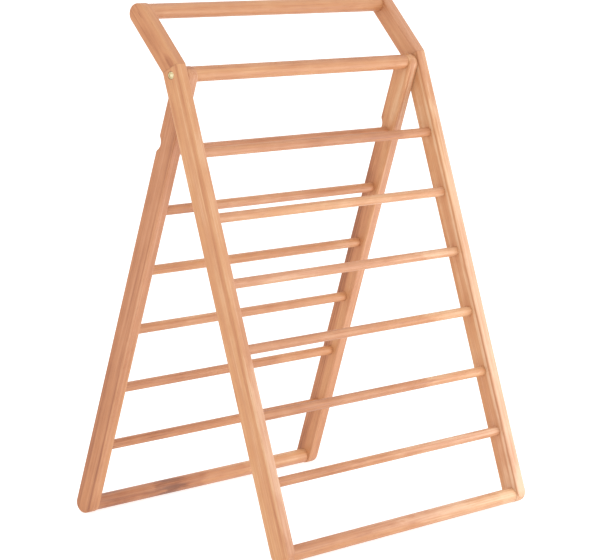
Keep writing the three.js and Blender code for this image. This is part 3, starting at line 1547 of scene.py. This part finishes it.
REAR_STILES: dict[Side, Board] = {
    Side.LEFT: Board(
        1.9,
        (0.06, 0.07),
        runout=0.015,
        tone=0.18,
        figures_and_light=(
            patch((-13, -15, -420), (8, 4, 900), 0.12, 0.3),
            patch((-13, 12, -560), (8, 8, 500), 0.08, 0.4),
            # Paler front face along the stile and near its top: painted light.
            patch((0, -19, -430), (40, 5, 520), -0.18, 0.7),
            patch((0, -19, 0), (40, 14, 60), -0.26, 0.6),
        ),
    ),
    Side.RIGHT: Board(
        2.7,
        (-0.08, 0.05),
        runout=0.015,
        tone=0.1,
        figures_and_light=(
            # Paler front face: painted sheen.
            patch((0, -19, -430), (40, 5, 520), -0.12, 0.7),
            patch((-13, 14, -430), (9, 14, 900), 0.16, 0.6),
            patch((-13, -8, -430), (9, 8, 900), -0.1, 0.6),
            # Paler all round near the top: painted light that lifts the shade by the hinge.
            patch((0, 0, -60), (40, 30, 130), -0.22, 0.6),
            patch((-13, 5, -330), (9, 25, 190), 0.12, 0.6),
        ),
    ),
}
TOP_RAIL = Board(14.2, (0.09, 0.04), tone=-0.01)
PIVOT_RAIL = Board(16.9, (-0.06, 0.08), tone=0.1)
BAR_TONES: dict[str, float] = {
    "front_rung_1": 0.04,
    "front_rung_2": -0.13,
    "front_rung_3": -0.03,
    "front_rung_4": 0.06,
    "front_rung_5": 0.15,
    "front_rung_6": 0.05,
    "front_bottom_rail": 0.0,
    "rear_rung_1": 0.05,
    "rear_rung_2": -0.04,
    "rear_rung_3": 0.04,
    "rear_rung_4": -0.06,
    "rear_rung_5": 0.14,
    "rear_rung_6": 0.24,
    "rear_bottom_rail": 0.08,
}
BAR_FIGURES_AND_LIGHT: dict[str, tuple[FigureAndLight, ...]] = {
    # On the rungs and the front bottom rail, paler right ends are painted sheen and darker left
    # ends are painted shade; front_rung_1's darker patch right of its middle is painted shade.
    "front_rung_1": (patch((0, 0, 120), (30, 30, 170), 0.12),),
    "front_rung_2": (stretch(330, 260, -0.08, 0.9),),
    "front_rung_3": (stretch(330, 120, -0.2, 0.9),),
    "front_rung_4": (stretch(330, 170, -0.28, 0.7), stretch(-330, 220, 0.08, 0.9)),
    "front_rung_5": (stretch(330, 190, -0.3, 0.8), stretch(-330, 260, 0.1, 0.9)),
    "front_rung_6": (stretch(300, 290, -0.16, 0.8), stretch(-330, 260, 0.12, 0.9)),
    "front_bottom_rail": (
        stretch(330, 330, -0.14, 0.9),
        stretch(330, 60, -0.12, 0.7),
        stretch(-330, 260, 0.13, 0.9),
    ),
    "rear_rung_2": (stretch(-300, 110, 0.24, 0.7),),
    "rear_rung_3": (stretch(300, 90, -0.14, 0.7),),
    "rear_rung_4": (stretch(-280, 110, 0.18, 0.7),),
    "rear_rung_5": (stretch(300, 200, -0.14, 0.7),),
    "rear_bottom_rail": (
        patch((0, 0, -70), (40, 40, 80), 0.26, 0.75),
        stretch(-210, 180, 0.24, 0.6),
        # Paler right end: painted sheen.
        stretch(230, 130, -0.16, 0.8),
    ),
}


# --- Room -------------------------------------------------------------------------------------


@dataclass(frozen=True)
class Studio:
    """The floor, the soft lights and the camera."""

    eye: Triple = (-3.94636, -3.23441, 1.21846)
    yaw: float = 0.88145
    pitch: float = -0.15217
    roll: float = 0.03211
    lens: float = 165.6
    glow: float = 0.76
    sky: float = 1.2
    lamp_at: Triple = (1.1, -0.98, 0.24)
    lamp_aim: Triple = (0.25, -0.15, 0.2)
    lamp_size: Pair = (1.1, 0.7)
    lamp_power: float = 7.5
    lamp_tint: Triple = (1.0, 0.99, 0.97)

    def camera(self) -> None:
        """Stands the camera at the front left, a little above the rack's middle."""
        data = bpy.data.cameras.new("camera")
        data.lens = self.lens
        data.clip_end = 100
        made = bpy.data.objects.new("camera", data)
        turn = (
            Matrix.Rotation(-self.yaw, 4, "Z")
            @ Matrix.Rotation(math.pi / 2 + self.pitch, 4, "X")
            @ Matrix.Rotation(self.roll, 4, "Z")
        )
        made.matrix_world = Matrix.Translation(self.eye) @ turn
        bpy.context.scene.collection.objects.link(made)
        bpy.context.scene.camera = made

    def floor(self) -> None:
        """Lays a pale floor, far past the rack on every side."""
        size = 60.0
        data = bpy.data.meshes.new("floor")
        corners = [(-size, -size, 0), (size, -size, 0), (size, size, 0), (-size, size, 0)]
        data.from_pydata(corners, [], [(0, 1, 2, 3)])
        made = bpy.data.objects.new("floor", data)
        bpy.context.scene.collection.objects.link(made)
        paint = Paint("floor")
        place = paint.node("ShaderNodeTexCoord", output=3)
        grain = paint.noise(place, (40, 40, 40), 2)
        inputs = {
            "Base Color": linear("BCBCBC"),
            "Roughness": 0.95,
            "Specular IOR Level": 0.0,
            "Emission Color": linear("FFFFFF"),
            "Emission Strength": self.glow,
        }
        data.materials.append(paint.surface(grain, 0.02 * MM, inputs))

    def lamp(self) -> None:
        """Hangs an oblong soft light low down at the right, turned to its aim."""
        data = bpy.data.lights.new("key", "AREA")
        data.shape = "RECTANGLE"
        data.size, data.size_y = self.lamp_size
        data.energy, data.color = self.lamp_power, self.lamp_tint
        made = bpy.data.objects.new("key", data)
        made.location = self.lamp_at
        direction = Matrix.Translation(self.lamp_aim).translation - made.location
        made.rotation_euler = direction.to_track_quat("-Z", "Y").to_euler()
        made.visible_camera = False
        bpy.context.scene.collection.objects.link(made)

    def air(self) -> None:
        """Fills the room with even white light."""
        world = bpy.data.worlds.new("room")
        bpy.context.scene.world = world
        world.use_nodes = True
        background = world.node_tree.nodes["Background"]
        background.inputs["Color"].default_value = (1.0, 1.0, 1.0, 1.0)
        background.inputs["Strength"].default_value = self.sky

    def build(self) -> None:
        """Sets up the room."""
        self.camera()
        self.floor()
        self.air()
        self.lamp()
        bpy.context.scene.view_settings.view_transform = "Standard"


def main() -> None:
    """Builds the rack and its room, and reports each piece."""
    shop, teak, joinery = Workshop(), Teak(), Joinery()
    FrontFrame(shop, teak, joinery, "front", Body.FRONT, 30.0).build()
    RearFrame(shop, teak, joinery, "rear", Body.REAR, 60.0).build()
    for side in Side:
        Hinge(shop, Brass(), joinery, side).build()
    Studio().build()
    log.info("%d pieces", len(shop.made))


if __name__ == "__main__":
    main()
